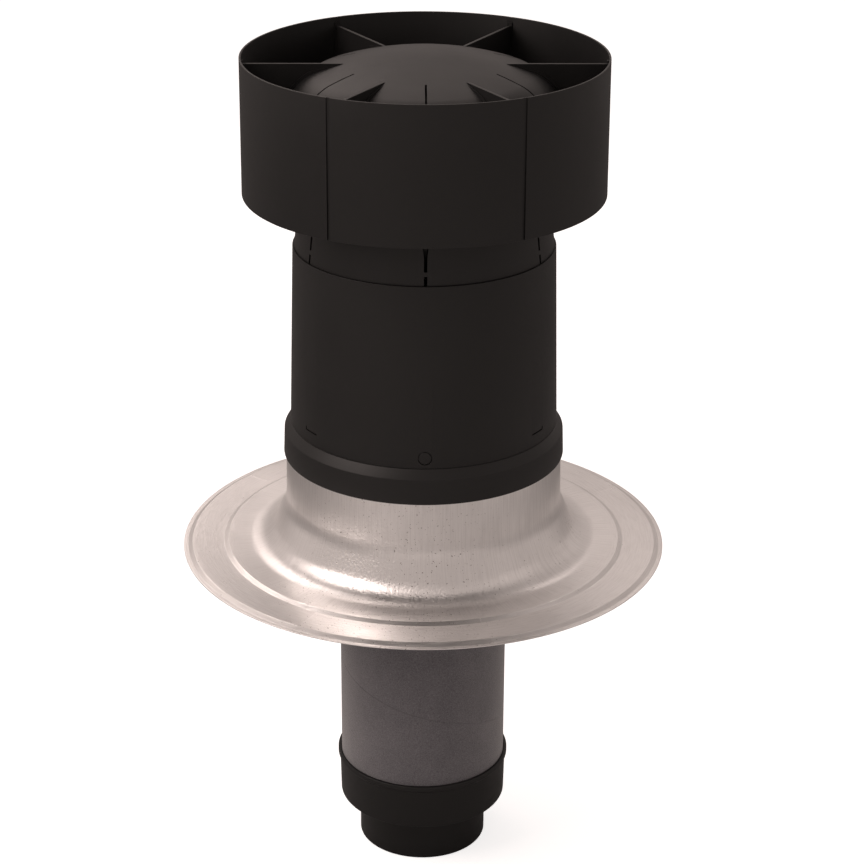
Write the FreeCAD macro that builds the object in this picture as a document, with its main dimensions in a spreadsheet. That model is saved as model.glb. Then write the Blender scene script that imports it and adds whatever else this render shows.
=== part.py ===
import FreeCAD, Part
import Sketcher
import math
import os
import re

# Roof vent terminal with a wind ring, a hooded cowl, a flat-roof flashing and
# an insulated duct pipe. Millimetres, +Z up. The origin is the centre of the
# circle on which the flashing's rim lies on the roof. The front is -Y.

doc = FreeCAD.newDocument("RoofVentTerminal")
sheet = doc.addObject("Spreadsheet::Sheet", "Sizes")
working = doc.addObject("Spreadsheet::Sheet", "Working")

drivingSizes = [
    ("fitGap", 0.3, "gap between pieces that slide together"),
    ("mouldWall", 2.2, "wall of the moulded cowl pieces"),
    ("flashingRadius", 236.5, "outer edge of the roof flashing"),
    ("sheetWall", 0.8, "aluminium sheet of the flashing"),
    ("rimWidth", 4.9, "flat rim of the flashing"),
    ("rimStepWidth", 3.0, "slope from the rim to the plate, seen from above"),
    ("rimStepHeight", 1.6, "rise from the rim to the plate"),
    ("discStepWidth", 5.0, "slope from the plate to the inner disc"),
    ("discStepHeight", 3.1, "rise from the plate to the inner disc"),
    ("discWidth", 39.3, "inner disc, from the flare's foot to the step"),
    ("flareSpread", 18.1, "flare's foot outside the neck"),
    ("flareSlope", 24.0, "angle of the flare's slope from the vertical"),
    ("flareFootBend", 29.0, "bend from the disc into the slope"),
    ("flareNeckBend", 45.0, "bend from the slope into the neck"),
    ("neckFootRadius", 134.6, "neck of the flashing at its foot"),
    ("neckDraft", 1.6, "neck is this much narrower at its top edge"),
    ("neckHeight", 112.5, "neck's top edge above the inner disc"),
    ("collarWall", 1.8, "wall of the storm collar's skirt"),
    ("collarClearance", 1.2, "collar's lower edge outside the neck"),
    ("collarDraft", 0.9, "skirt is this much narrower at its upper edge"),
    ("collarOverlap", 21.0, "skirt's lower edge below the neck's top"),
    ("collarEdgeRise", 3.9, "skirt's upper edge above the neck's top"),
    ("collarFloor", 2.4, "thickness of the floor inside the collar"),
    ("shoulderRise", 8.6, "height of the collar's sloping shoulder"),
    ("shoulderWidth", 6.2, "jacket's foot inside the skirt's upper edge"),
    ("ledgeOverhang", 0.8, "collar's ledge outside the jacket's foot"),
    ("spigotHeight", 28.0, "collar's upstand inside the jacket"),
    ("hubRise", 16.0, "hub's top above the neck's top"),
    ("hubDrop", 18.0, "hub's foot below the neck's top"),
    ("hubWall", 2.4, "wall of the hub round the pipe"),
    ("gussetCount", 6, "gussets between the hub and the upstand"),
    ("gussetWall", 2.0, "thickness of a gusset"),
    ("jacketHeight", 176.4, "height of the jacket"),
    ("jacketDraft", 4.6, "jacket is this much narrower at its top"),
    ("buttonRise", 10.3, "lock buttons above the jacket's foot"),
    ("buttonRadius", 6.0, "head of a lock button"),
    ("buttonGap", 0.6, "ring gap round a button's head"),
    ("buttonStemRadius", 3.6, "stem of a lock button"),
    ("buttonBarb", 0.9, "barb behind the collar's upstand"),
    ("slitAngle", 60.0, "lock slits, measured from the front and the back"),
    ("slitSpan", 8.0, "angle covered by a slit's long leg"),
    ("slitWidth", 1.3, "width of a lock slit"),
    ("slitLegRise", 3.2, "height of a slit's short leg"),
    ("slitLift", 12.7, "slit's long leg above the jacket's foot"),
    ("coneStep", 1.6, "cone's foot inside the jacket's top edge"),
    ("coneSlope", 6.76, "slope of the cone from the vertical"),
    ("coneHeight", 78.1, "cone's rim above the jacket"),
    ("coneLip", 2.6, "width of the flat rim between cone and funnel"),
    ("coneSpigot", 14.0, "cone's spigot inside the jacket"),
    ("throatDrop", 3.9, "funnel's throat below the jacket's top"),
    ("funnelSpigot", 41.0, "funnel's spigot inside the pipe"),
    ("rimThickness", 5.0, "depth of the rim between cone and funnel"),
    ("windowHeight", 8.6, "lower window of a slot, above the jacket"),
    ("slotBridge", 4.0, "bridge between the window and the slot"),
    ("slotWidth", 3.0, "drain slots in the cone"),
    ("slotMouthWidth", 5.2, "upper end of a slot, where a leg enters"),
    ("slotStraight", 12.5, "straight foot of the slot"),
    ("slotTaper", 11.0, "height over which the slot widens"),
    ("slotDepth", 17.0, "depth of a slot, in from the cone's foot"),
    ("airGap", 30.0, "gap between the cone's rim and the hood"),
    ("hoodRadius", 128.0, "skirt of the hood"),
    ("hoodHeight", 72.9, "height of the hood"),
    ("crownBend", 303.0, "radius of the hood's crown"),
    ("shoulderBend", 43.3, "radius of the hood's shoulder"),
    ("hoodGrooveWidth", 1.8, "grooves in the hood over its legs"),
    ("hoodGrooveDepth", 0.9, "depth of a hood groove"),
    ("hoodGrooveInset", 54.0, "inner end of a hood groove, in from the skirt"),
    ("hoodGrooveMargin", 8.0, "outer end of a hood groove, in from the skirt"),
    ("legWall", 2.4, "thickness of a hood leg"),
    ("legOverlap", 27.0, "height of a leg's root on the skirt"),
    ("legReach", 7.7, "leg's inner edge inside the slots"),
    ("legTipGap", 3.5, "leg's tip above the slot's foot"),
    ("legRecess", 0.4, "leg's outer edge behind the cone's face"),
    ("legClearance", 0.6, "leg's foot above the funnel's air side"),
    ("lipHeight", 1.6, "guide lips beside a fin"),
    ("lipWall", 1.1, "thickness of a guide lip"),
    ("lipReach", 1.5, "guide lips past a fin's inner tip"),
    ("channelLift", 10.0, "stop at a channel's foot above the skirt's edge"),
    ("ringGap", 41.8, "gap between the hood's skirt and the ring's face"),
    ("ringDraft", 0.6, "ring is this much wider at its lower edge"),
    ("ringWall", 2.0, "wall of the wind ring"),
    ("ringHeight", 128.5, "height of the wind ring"),
    ("ringRise", 9.4, "ring's top edge above the fins"),
    ("finDrop", 10.3, "fins' top edge below the crown"),
    ("finLift", 33.5, "fins' foot above the ring's lower edge"),
    ("finCount", 6, "fins of the wind ring, legs and slots"),
    ("finWall", 3.0, "thickness of a fin"),
    ("grooveWidth", 3.6, "groove on the ring's outside at each fin"),
    ("grooveDepth", 0.8, "depth of that groove"),
    ("railWidth", 5.0, "rail on the ring's inside at each fin"),
    ("railDepth", 1.2, "depth of that rail"),
    ("railRise", 3.0, "rail above the fin's top edge"),
    ("pipeRadius", 83.0, "insulated pipe, outside"),
    ("foamWall", 19.0, "wall of the insulated pipe"),
    ("pipeHeadroom", 4.0, "pipe's top end below the funnel's throat"),
    ("pipeDepth", 252.0, "pipe's lower end below the roof"),
    ("ductWall", 2.0, "wall of the funnel and of the reducer's insert"),
    ("socketWall", 1.4, "wall of the reducer's socket"),
    ("socketOverlap", 14.3, "socket's rim above the pipe's lower end"),
    ("socketSpace", 33.7, "reducer's floor below the pipe's lower end"),
    ("socketDraft", 0.9, "socket is this much narrower at its foot"),
    ("socketLip", 1.9, "rim bead outside the socket"),
    ("socketLipHeight", 5.0, "height of the rim bead"),
    ("socketFootBend", 1.6, "rounding of the socket's lower edge"),
    ("outletStep", 0.9, "shoulder between the insert's bore and the outlet's"),
    ("outletWall", 1.6, "wall of the outlet"),
    ("outletLength", 49.1, "length of the outlet"),
    ("insertLength", 47.0, "reducer's insert inside the pipe"),
    ("stopRibCount", 8, "ribs under the pipe's end"),
    ("stopRibWall", 2.0, "thickness of such a rib"),
]

derivedSizes = [
    ("plateTop", "sheetWall + rimStepHeight", "upper face of the plate"),
    ("discTop", "plateTop + discStepHeight", "upper face of the inner disc"),
    ("rimStepRadius", "flashingRadius - rimWidth", "foot of the rim step"),
    ("flareFootRadius", "neckFootRadius + flareSpread",
     "where the flare's slope would meet the disc"),
    ("discStepRadius", "flareFootRadius + discWidth + discStepWidth",
     "foot of the disc step"),
    ("neckFoot", "discTop + flareSpread / tan(flareSlope)",
     "where the neck would meet the flare's slope"),
    ("neckTop", "discTop + neckHeight", "neck's top edge"),
    ("neckTopRadius", "neckFootRadius - neckDraft", "neck at its top edge"),
    ("collarFoot", "neckTop - collarOverlap", "collar's lower edge"),
    ("collarFootRadius", "neckTopRadius + collarWall + collarClearance",
     "collar at its lower edge"),
    ("collarEdge", "neckTop + collarEdgeRise", "skirt's upper edge"),
    ("collarEdgeRadius", "collarFootRadius - collarDraft", "skirt at its upper edge"),
    ("hubRadius", "pipeRadius + fitGap + hubWall", "hub, outside"),
    ("hubTop", "neckTop + hubRise", "hub's top"),
    ("hubFoot", "neckTop - hubDrop", "hub's foot"),
    ("jacketFoot", "collarEdge + shoulderRise", "jacket's foot"),
    ("jacketFootRadius", "collarEdgeRadius - shoulderWidth", "jacket at its foot"),
    ("jacketTop", "jacketFoot + jacketHeight", "jacket's top edge"),
    ("jacketTopRadius", "jacketFootRadius - jacketDraft", "jacket at its top edge"),
    ("buttonHeight", "jacketFoot + buttonRise", "lock buttons"),
    ("slitHeight", "jacketFoot + slitLift", "lock slits"),
    ("coneFootRadius", "jacketTopRadius - coneStep", "cone where it leaves the jacket"),
    ("coneTop", "jacketTop + coneHeight", "cone's rim"),
    ("coneTopRadius", "coneFootRadius - coneHeight * tan(coneSlope)", "cone at its rim"),
    ("hollowTop", "coneTop - rimThickness", "top of the hollow in the cowl"),
    ("pipeBore", "pipeRadius - foamWall", "insulated pipe, inside"),
    ("funnelThroat", "jacketTop - throatDrop", "funnel's throat"),
    ("funnelTopRadius", "coneTopRadius - coneLip", "funnel at its rim"),
    ("funnelBore", "pipeBore - fitGap - ductWall", "funnel's throat, radius"),
    ("outletBore", "funnelBore + outletStep", "bore that takes the duct's end"),
    ("funnelLean", "(funnelTopRadius - funnelBore) / (coneTop - funnelThroat)",
     "funnel's growth in radius for each millimetre of height"),
    ("windowTop", "jacketTop + windowHeight", "top of a slot's lower window"),
    ("slotFoot", "windowTop + slotBridge", "foot of a slot"),
    ("slotTaperFoot", "slotFoot + slotStraight", "where a slot starts to widen"),
    ("slotTaperTop", "slotTaperFoot + slotTaper", "where a slot is at its widest"),
    ("slotInner", "coneFootRadius - slotDepth", "inner end of a slot"),
    ("hoodFoot", "coneTop + airGap", "hood's lower edge"),
    ("crownHeight", "hoodFoot + hoodHeight", "top of the hood"),
    ("crownCentre", "crownHeight - crownBend", "centre of the crown's arc"),
    ("shoulderOffset", "hoodRadius - shoulderBend", "radius of the shoulder's centre"),
    ("shoulderHeight",
     "crownCentre + sqrt((crownBend - shoulderBend)^2 - shoulderOffset^2)",
     "centre of the shoulder's arc"),
    ("legInner", "slotInner - legReach", "inner edge of a leg"),
    ("finTop", "crownHeight - finDrop", "fins' top edge"),
    ("finTip", "sqrt((crownBend + fitGap)^2 - (finTop - crownCentre)^2)",
     "inner tip of a fin"),
    ("lipInner", "finTip - lipReach", "inner end of the guide lips"),
    ("channelFoot", "hoodFoot + channelLift", "stop at a channel's foot"),
    ("ringRadius", "hoodRadius + ringGap", "ring at its top edge"),
    ("ringFootRadius", "ringRadius + ringDraft", "ring at its lower edge"),
    ("ringTop", "finTop + ringRise", "ring's top edge"),
    ("ringFoot", "ringTop - ringHeight", "ring's lower edge"),
    ("finFoot", "ringFoot + finLift", "fins' foot at the ring"),
    ("pipeTop", "funnelThroat - pipeHeadroom", "pipe's top end"),
    ("socketTop", "socketOverlap - pipeDepth", "socket's rim"),
    ("socketFoot", "-pipeDepth - socketSpace", "reducer's floor, below"),
    ("socketRadius", "pipeRadius + fitGap + socketWall", "socket under its bead"),
    ("socketFootRadius", "socketRadius - socketDraft", "socket at its foot"),
    ("outletFoot", "socketFoot - outletLength", "outlet's lower edge"),
    ("insertTop", "insertLength - pipeDepth", "top of the insert"),
]

for row, (alias, content, note) in enumerate(drivingSizes + derivedSizes, 1):
    formula = "=" + content if isinstance(content, str) else str(content)
    sheet.set("A%d" % row, alias)
    sheet.set("B%d" % row, formula)
    sheet.setAlias("B%d" % row, alias)
    sheet.set("C%d" % row, note)
doc.recompute()

aliases = {entry[0] for entry in drivingSizes + derivedSizes}


def bound(formula):
    """A formula of the sheet's sizes, as another object writes it."""
    return re.sub(r"[A-Za-z]\w*",
                  lambda word: "Sizes." + word.group(0) if word.group(0) in aliases
                  else word.group(0), formula)


def workedOut(formula):
    """The number that a formula of the sheet's sizes gives."""
    working.set("A1", "=" + bound(formula))
    working.recompute()
    return float(working.get("A1"))


def bind(thing, propertyName, formula):
    thing.setExpression(propertyName, bound(formula))


def newBody(label):
    body = doc.addObject("PartDesign::Body", label)
    body.Label = label
    return body


def originFeature(body, role):
    for feature in body.Origin.OriginFeatures:
        if feature.Role == role:
            return feature


def newSketch(body, name, plane="XZ_Plane", azimuth=None, offset=None):
    """A sketch on an origin plane, turned about Z or moved along its normal."""
    sketch = body.newObject("Sketcher::SketchObject", name)
    sketch.AttachmentSupport = [(originFeature(body, plane), "")]
    sketch.MapMode = "FlatFace"
    if azimuth is not None:
        turn = FreeCAD.Rotation(FreeCAD.Vector(0, 1, 0), workedOut(azimuth))
        sketch.AttachmentOffset = FreeCAD.Placement(FreeCAD.Vector(0, 0, 0), turn)
        bind(sketch, "AttachmentOffset.Rotation.Angle", azimuth)
    if offset is not None:
        bind(sketch, "AttachmentOffset.Base.z", offset)
    return sketch


def holdPoint(sketch, line, end, across, along):
    """Dimensions that fix one point of a sketch from its origin."""
    places = (("X", across, -2), ("Y", along, -1))
    for direction, formula, axis in places:
        value = workedOut(formula)
        if abs(value) < 1e-9:
            sketch.addConstraint(Sketcher.Constraint("PointOnObject", line, end, axis))
        else:
            number = sketch.addConstraint(Sketcher.Constraint(
                "Distance" + direction, -1, 1, line, end, value))
            bind(sketch, "Constraints[%d]" % number, formula)


def arcBetween(start, finish, radius):
    """An arc from start to finish; a positive radius bulges to the right."""
    chord = finish.sub(start)
    middle = start.add(finish).multiply(0.5)
    height = math.sqrt(max(radius * radius - chord.Length ** 2 / 4, 0))
    left = FreeCAD.Vector(-chord.y, chord.x, 0).normalize()
    side = 1 if radius > 0 else -1
    centre = middle.add(left.multiply(height * side))
    circle = Part.Circle(centre, FreeCAD.Vector(0, 0, 1), abs(radius))
    first, last = (start, finish) if side > 0 else (finish, start)
    angles = [math.atan2(point.y - centre.y, point.x - centre.x)
              for point in (first, last)]
    return Part.ArcOfCircle(circle, angles[0], angles[1])


def drawOutline(sketch, corners):
    """A closed outline. A corner is (across, along) or (across, along, bend),
    where bend is the radius of the arc that leads to the next corner."""
    points = [FreeCAD.Vector(workedOut(corner[0]), workedOut(corner[1]), 0)
              for corner in corners]
    ends = []
    for index, corner in enumerate(corners):
        start = points[index]
        finish = points[(index + 1) % len(points)]
        if len(corner) == 3:
            radius = workedOut(corner[2])
            number = sketch.addGeometry(arcBetween(start, finish, radius))
            ends.append((number, 1, 2) if radius > 0 else (number, 2, 1))
            size = sketch.addConstraint(Sketcher.Constraint("Radius", number, abs(radius)))
            bind(sketch, "Constraints[%d]" % size, "abs(%s)" % corner[2])
        else:
            number = sketch.addGeometry(Part.LineSegment(start, finish))
            ends.append((number, 1, 2))
    for index, corner in enumerate(corners):
        line, first, last = ends[index]
        before = ends[index - 1]
        sketch.addConstraint(Sketcher.Constraint(
            "Coincident", before[0], before[2], line, first))
        holdPoint(sketch, line, first, corner[0], corner[1])


def drawCircle(sketch, across, along, radius):
    centre = FreeCAD.Vector(workedOut(across), workedOut(along), 0)
    size = workedOut(radius)
    number = sketch.addGeometry(Part.Circle(centre, FreeCAD.Vector(0, 0, 1), size))
    holdPoint(sketch, number, 3, across, along)
    constraint = sketch.addConstraint(Sketcher.Constraint("Radius", number, size))
    bind(sketch, "Constraints[%d]" % constraint, radius)


def turned(body, name, corners):
    """A solid of revolution about Z from an outline of radius and height."""
    sketch = newSketch(body, name + "Outline")
    drawOutline(sketch, corners)
    feature = body.newObject("PartDesign::Revolution", name)
    feature.Profile = sketch
    feature.ReferenceAxis = (sketch, ["V_Axis"])
    feature.Angle = 360
    doc.recompute()
    return feature


def grooved(body, name, corners, azimuth="0", span="360"):
    """A cut turned about Z, from an azimuth through a span."""
    sketch = newSketch(body, name + "Outline", azimuth=azimuth)
    drawOutline(sketch, corners)
    feature = body.newObject("PartDesign::Groove", name)
    feature.Profile = sketch
    feature.ReferenceAxis = (sketch, ["V_Axis"])
    bind(feature, "Angle", span)
    before = body.Shape.Volume
    doc.recompute()
    if feature.Shape.Volume >= before - 1e-6:
        feature.Reversed = True
        doc.recompute()
    return feature


def plate(body, name, corners, thickness, azimuth="0"):
    """A flat plate in a radial plane, half its thickness to each side."""
    sketch = newSketch(body, name + "Outline", azimuth=azimuth)
    drawOutline(sketch, corners)
    feature = body.newObject("PartDesign::Pad", name)
    feature.Profile = sketch
    feature.SideType = "Symmetric"
    bind(feature, "Length", thickness)
    doc.recompute()
    return feature


def pocket(body, name, sketch, depth=None, sides="One side"):
    """A cut straight in from a sketch, or both ways through everything."""
    feature = body.newObject("PartDesign::Pocket", name)
    feature.Profile = sketch
    feature.SideType = sides
    if depth is None:
        feature.Type = "ThroughAll"
        feature.SideType = "Symmetric"
    else:
        bind(feature, "Length", depth)
    doc.recompute()
    return feature


def repeated(body, name, originals, count):
    """Features repeated round the Z axis."""
    feature = body.newObject("PartDesign::PolarPattern", name)
    feature.Originals = originals
    feature.Axis = (originFeature(body, "Z_Axis"), [""])
    feature.Angle = 360
    bind(feature, "Occurrences", count)
    body.Tip = feature
    doc.recompute()
    return feature


def rounded(body, name, circles, radius):
    """Round the circular edges that lie at the given radii and heights."""
    base = body.Tip
    wanted = [(workedOut(circle), workedOut(height)) for circle, height in circles]
    edges = []
    for number, edge in enumerate(base.Shape.Edges, 1):
        curve = edge.Curve
        if not isinstance(curve, Part.Circle):
            continue
        for circle, height in wanted:
            if abs(curve.Radius - circle) < 1e-3 and abs(curve.Center.z - height) < 1e-3:
                edges.append("Edge%d" % number)
    if len(edges) != len(wanted):
        raise ValueError("%s finds %d edges of %d" % (name, len(edges), len(wanted)))
    feature = body.newObject("PartDesign::Fillet", name)
    feature.Base = (base, edges)
    bind(feature, "Radius", radius)
    doc.recompute()
    return feature


def jacketRadiusAt(height):
    return ("(jacketFootRadius + (jacketTopRadius - jacketFootRadius)"
            " * (%s - jacketFoot) / (jacketTop - jacketFoot))" % height)


def coneRadiusAt(height):
    return "(coneFootRadius - (%s - jacketTop) * tan(coneSlope))" % height


def hoodCurve(offset, start, finish):
    """Corners along the hood's crown and shoulder, moved out by an offset."""
    share = "((crownBend + %s) / (crownBend - shoulderBend))" % offset
    return [
        (start, "crownCentre + sqrt((crownBend + %s)^2 - (%s)^2)" % (offset, start),
         "-(crownBend + %s)" % offset),
        ("shoulderOffset * " + share,
         "crownCentre + (shoulderHeight - crownCentre) * " + share,
         "-(shoulderBend + %s)" % offset),
        ("hoodRadius + %s" % offset, "shoulderHeight"),
        ("hoodRadius + %s" % offset, finish),
    ]


def hoodArcs(offset, start, finish):
    """Corners along the crown and the shoulder only, from radius to radius."""
    return hoodCurve(offset, start, "0")[:2] + [
        (finish, "shoulderHeight + sqrt((shoulderBend + %s)^2 - (%s - shoulderOffset)^2)"
         % (offset, finish))]


def backwards(corners):
    """The same run of corners walked from its last to its first."""
    run = []
    for index in range(len(corners) - 1, -1, -1):
        corner = corners[index][:2]
        if index > 0 and len(corners[index - 1]) == 3:
            corner = corner + ("-" + corners[index - 1][2],)
        run.append(corner)
    return run


# Roof flashing: one spun aluminium sheet, with two low steps round its plate
# and a flare up to the neck.
flashing = newBody("roof_flashing")
turned(flashing, "FlashingSheet", [
    ("flashingRadius", "0"),
    ("flashingRadius", "sheetWall"),
    ("rimStepRadius", "sheetWall"),
    ("rimStepRadius - rimStepWidth", "plateTop"),
    ("discStepRadius", "plateTop"),
    ("discStepRadius - discStepWidth", "discTop"),
    ("flareFootRadius", "discTop"),
    ("neckFootRadius", "neckFoot"),
    ("neckTopRadius", "neckTop"),
    ("neckTopRadius - sheetWall", "neckTop"),
    ("neckFootRadius - sheetWall", "neckFoot"),
    ("flareFootRadius - sheetWall * tan(45 - flareSlope / 2)", "discTop - sheetWall"),
    ("discStepRadius - discStepWidth", "discTop - sheetWall"),
    ("discStepRadius", "plateTop - sheetWall"),
    ("rimStepRadius - rimStepWidth", "plateTop - sheetWall"),
    ("rimStepRadius", "0"),
])
rounded(flashing, "FlareFoot", [("flareFootRadius", "discTop")], "flareFootBend")
rounded(flashing, "FlareFootBelow", [
    ("flareFootRadius - sheetWall * tan(45 - flareSlope / 2)", "discTop - sheetWall")],
    "flareFootBend + sheetWall")
rounded(flashing, "FlareNeck", [("neckFootRadius", "neckFoot")], "flareNeckBend")
rounded(flashing, "FlareNeckInside", [("neckFootRadius - sheetWall", "neckFoot")],
        "flareNeckBend + sheetWall")

# Storm collar: a skirt over the neck, a sloping shoulder, a ledge and an
# upstand for the jacket, and a floor with a hub that centres the pipe.
collar = newBody("storm_collar")
spigotRadius = "(%s - mouldWall - fitGap)" % jacketRadiusAt("(jacketFoot + spigotHeight)")
turned(collar, "CollarShell", [
    ("collarFootRadius", "collarFoot"),
    ("collarEdgeRadius", "collarEdge"),
    ("jacketFootRadius + ledgeOverhang", "jacketFoot"),
    (spigotRadius, "jacketFoot"),
    (spigotRadius, "jacketFoot + spigotHeight"),
    (spigotRadius + " - collarWall", "jacketFoot + spigotHeight"),
    (spigotRadius + " - collarWall", "neckTop + collarFloor"),
    ("hubRadius", "neckTop + collarFloor"),
    ("hubRadius", "hubTop"),
    ("pipeRadius + fitGap", "hubTop"),
    ("pipeRadius + fitGap", "hubFoot"),
    ("hubRadius", "hubFoot"),
    ("hubRadius", "neckTop"),
    ("collarEdgeRadius - collarWall", "neckTop"),
    ("collarFootRadius - collarWall", "collarFoot"),
])
gusset = plate(collar, "CollarGusset", [
    ("hubRadius - hubWall / 2", "hubTop"),
    ("hubRadius - hubWall / 2", "neckTop + collarFloor / 2"),
    (spigotRadius + " - collarWall / 2", "neckTop + collarFloor / 2"),
    (spigotRadius + " - collarWall / 2", "hubTop"),
], "gussetWall")
repeated(collar, "CollarGussets", [gusset], "gussetCount")
stemHole = newSketch(collar, "StemHoleOutline")
drawCircle(stemHole, "0", "buttonHeight", "buttonStemRadius + fitGap")
pocket(collar, "StemHoles", stemHole)

# Outer jacket: a slightly tapered tube that stands on the collar's ledge, with
# two button holes and four L-shaped lock slits.
jacket = newBody("outer_jacket")
turned(jacket, "JacketShell", [
    ("jacketFootRadius", "jacketFoot"),
    ("jacketTopRadius", "jacketTop"),
    ("jacketTopRadius - mouldWall", "jacketTop"),
    ("jacketFootRadius - mouldWall", "jacketFoot"),
])
buttonHole = newSketch(jacket, "ButtonHoleOutline")
drawCircle(buttonHole, "0", "buttonHeight", "buttonRadius + buttonGap")
pocket(jacket, "ButtonHoles", buttonHole)
slitStarts = {
    "LeftFront": ("270 - slitAngle", "slitSpan", "270 - slitAngle"),
    "RightFront": ("270 + slitAngle - slitSpan", "slitSpan", "270 + slitAngle"),
    "LeftBack": ("90 + slitAngle - slitSpan", "slitSpan", "90 + slitAngle"),
    "RightBack": ("90 - slitAngle", "slitSpan", "90 - slitAngle"),
}
for place, (azimuth, span, legAzimuth) in slitStarts.items():
    grooved(jacket, "Slit" + place, [
        ("jacketFootRadius - 2 * mouldWall", "slitHeight - slitWidth / 2"),
        ("jacketFootRadius + mouldWall", "slitHeight - slitWidth / 2"),
        ("jacketFootRadius + mouldWall", "slitHeight + slitWidth / 2"),
        ("jacketFootRadius - 2 * mouldWall", "slitHeight + slitWidth / 2"),
    ], azimuth, span)
    legTurn = "(slitWidth / jacketFootRadius * 180 / pi)"
    grooved(jacket, "SlitLeg" + place, [
        ("jacketFootRadius - 2 * mouldWall", "slitHeight - slitWidth / 2"),
        ("jacketFootRadius + mouldWall", "slitHeight - slitWidth / 2"),
        ("jacketFootRadius + mouldWall", "slitHeight + slitLegRise"),
        ("jacketFootRadius - 2 * mouldWall", "slitHeight + slitLegRise"),
    ], legAzimuth + " - %s / 2" % legTurn, legTurn)

# Lock buttons: a flat head in the jacket's hole and a barbed stem through the
# collar's upstand, at the front and at the back.
buttons = newBody("lock_buttons")
buttons.AllowCompound = True
buttonAxis = newSketch(buttons, "ButtonOutline", "YZ_Plane")
drawOutline(buttonAxis, [
    (jacketRadiusAt("buttonHeight"), "buttonHeight"),
    (jacketRadiusAt("buttonHeight"), "buttonHeight + buttonRadius"),
    (jacketRadiusAt("buttonHeight") + " - mouldWall", "buttonHeight + buttonRadius"),
    (jacketRadiusAt("buttonHeight") + " - mouldWall", "buttonHeight + buttonStemRadius"),
    (spigotRadius + " - collarWall - fitGap", "buttonHeight + buttonStemRadius"),
    (spigotRadius + " - collarWall - fitGap", "buttonHeight + buttonStemRadius + buttonBarb"),
    (spigotRadius + " - collarWall - fitGap - 2 * buttonBarb",
     "buttonHeight + buttonStemRadius"),
    (spigotRadius + " - collarWall - fitGap - 2 * buttonBarb", "buttonHeight"),
])
buttonTurn = buttons.newObject("PartDesign::Revolution", "Button")
buttonTurn.Profile = buttonAxis
buttonTurn.ReferenceAxis = (buttonAxis, ["Edge8"])
buttonTurn.Angle = 360
doc.recompute()
repeated(buttons, "ButtonPair", [buttonTurn], "2")

# Cowl base: a cone that stands in the jacket's top and a funnel inside it that
# leads the air up from the pipe, with a hollow between them and six slots.
cowl = newBody("cowl_base")
funnelWallAcross = "ductWall * sqrt(1 + funnelLean^2)"
turned(cowl, "CowlShell", [
    ("jacketTopRadius - mouldWall - fitGap", "jacketTop - coneSpigot"),
    ("jacketTopRadius - mouldWall - fitGap", "jacketTop"),
    ("coneFootRadius", "jacketTop"),
    ("coneTopRadius", "coneTop"),
    ("funnelTopRadius", "coneTop"),
    ("funnelBore", "funnelThroat"),
    ("funnelBore", "funnelThroat - funnelSpigot"),
    ("funnelBore + ductWall", "funnelThroat - funnelSpigot"),
    ("funnelBore + ductWall",
     "funnelThroat + (ductWall - %s) / funnelLean" % funnelWallAcross),
    ("funnelBore + %s + (hollowTop - funnelThroat) * funnelLean" % funnelWallAcross,
     "hollowTop"),
    (coneRadiusAt("hollowTop") + " - mouldWall", "hollowTop"),
    (coneRadiusAt("jacketTop") + " - mouldWall", "jacketTop + mouldWall"),
    ("jacketTopRadius - 2 * mouldWall - fitGap", "jacketTop"),
    ("jacketTopRadius - 2 * mouldWall - fitGap", "jacketTop - coneSpigot"),
])
slotOutline = newSketch(cowl, "SlotOutline", offset="jacketTopRadius")
drawOutline(slotOutline, [
    ("-slotWidth / 2", "slotFoot"),
    ("slotWidth / 2", "slotFoot"),
    ("slotWidth / 2", "slotTaperFoot"),
    ("slotMouthWidth / 2", "slotTaperTop"),
    ("slotMouthWidth / 2", "coneTop + coneLip"),
    ("-slotMouthWidth / 2", "coneTop + coneLip"),
    ("-slotMouthWidth / 2", "slotTaperTop"),
    ("-slotWidth / 2", "slotTaperFoot"),
])
slot = pocket(cowl, "Slot", slotOutline, "jacketTopRadius - slotInner")
windowOutline = newSketch(cowl, "WindowOutline", offset="jacketTopRadius")
drawOutline(windowOutline, [
    ("-slotWidth / 2", "jacketTop"),
    ("slotWidth / 2", "jacketTop"),
    ("slotWidth / 2", "windowTop"),
    ("-slotWidth / 2", "windowTop"),
])
window = pocket(cowl, "Window", windowOutline, "jacketTopRadius - slotInner")
repeated(cowl, "Slots", [slot, window], "finCount")

# Hood: a domed cap with six grooves over six legs, which stand in the cowl's slots, and
# six channels, each a pair of lips, that hold the wind ring's fins.
hood = newBody("dome_hood")
outerCurve = hoodCurve("0", "0", "hoodFoot")
innerCurve = hoodCurve("(0 - mouldWall)", "0", "hoodFoot")
turned(hood, "HoodShell", outerCurve + backwards(innerCurve))
grooveEnds = ("hoodRadius - hoodGrooveInset", "hoodRadius - hoodGrooveMargin")
hoodGrooveOutline = newSketch(hood, "HoodGrooveOutline", azimuth="30")
drawOutline(hoodGrooveOutline,
            hoodArcs("hoodGrooveDepth", *grooveEnds)
            + backwards(hoodArcs("(0 - hoodGrooveDepth)", *grooveEnds)))
hoodGroove = pocket(hood, "HoodGroove", hoodGrooveOutline, "hoodGrooveWidth", "Symmetric")
repeated(hood, "HoodGrooves", [hoodGroove], "finCount")
airSideHeight = "(coneTop - (funnelTopRadius - %s) / funnelLean)"
leg = plate(hood, "HoodLeg", [
    ("hoodRadius - mouldWall / 2", "hoodFoot + legOverlap"),
    ("hoodRadius - mouldWall / 2", "hoodFoot"),
    (coneRadiusAt("slotTaperTop") + " - legRecess", "slotTaperTop"),
    ("slotInner + fitGap", "slotFoot + legTipGap"),
    ("slotInner + fitGap", airSideHeight % "slotInner" + " + legClearance"),
    ("legInner", airSideHeight % "legInner" + " + legClearance"),
    ("legInner", "hoodFoot"),
], "legWall", "30")
repeated(hood, "HoodLegs", [leg], "finCount")
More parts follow.
